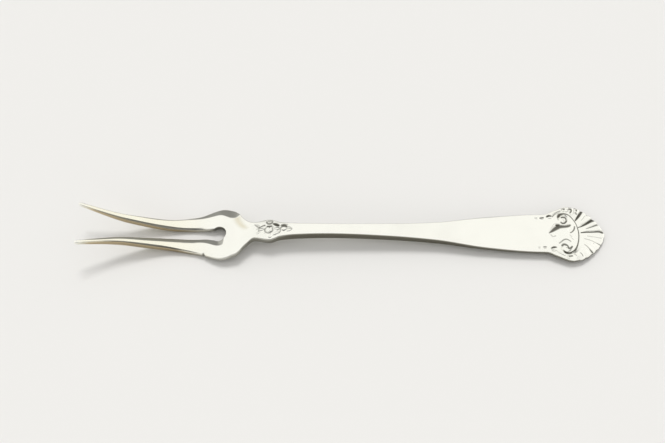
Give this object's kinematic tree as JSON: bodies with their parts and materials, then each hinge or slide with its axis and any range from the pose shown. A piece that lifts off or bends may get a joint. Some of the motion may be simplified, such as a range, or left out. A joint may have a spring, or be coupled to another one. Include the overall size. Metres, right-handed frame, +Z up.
{
  "type": "butter fork",
  "caption": "Slim forked server with splayed tines, a keyhole slot, a flowered neck and a flat handle that flares to a scallop shell, for spearing and serving butter.",
  "frame": {"origin": "on the table under the middle of the fork's length and width", "axes": "+X from the tines to the shell end, +Z up from the table out of the upper face"},
  "size_m": [0.15, 0.0174, 0.0097],
  "materials": {
    "polished_silver": "polished silver with fine scratches",
    "warm_silver": "polished silver with a thin yellow tarnish",
    "relief_silver": "struck relief, bright on its crests and dark in its recesses"
  },
  "bodies": {
    "root": {"left_tine": "warm_silver", "right_tine": "warm_silver", "fork_head": "polished_silver", "neck_collar": "polished_silver", "stem": "polished_silver", "handle_blade": "polished_silver", "terminal_plate": "polished_silver", "shell_fan": "relief_silver", "scroll_arch": "relief_silver", "volute_eye_left": "relief_silver", "volute_eye_right": "relief_silver", "leaf_drop": "relief_silver", "bead_left_1": "relief_silver", "bead_left_2": "relief_silver", "bead_left_3": "relief_silver", "bead_right_1": "relief_silver", "bead_right_2": "relief_silver", "bead_right_3": "relief_silver", "floret_centre": "relief_silver", "floret_left": "relief_silver", "floret_right": "relief_silver", "bell_drop": "relief_silver", "leaf_left": "relief_silver", "leaf_right": "relief_silver", "sprig": "relief_silver"}
  },
  "joints": []
}
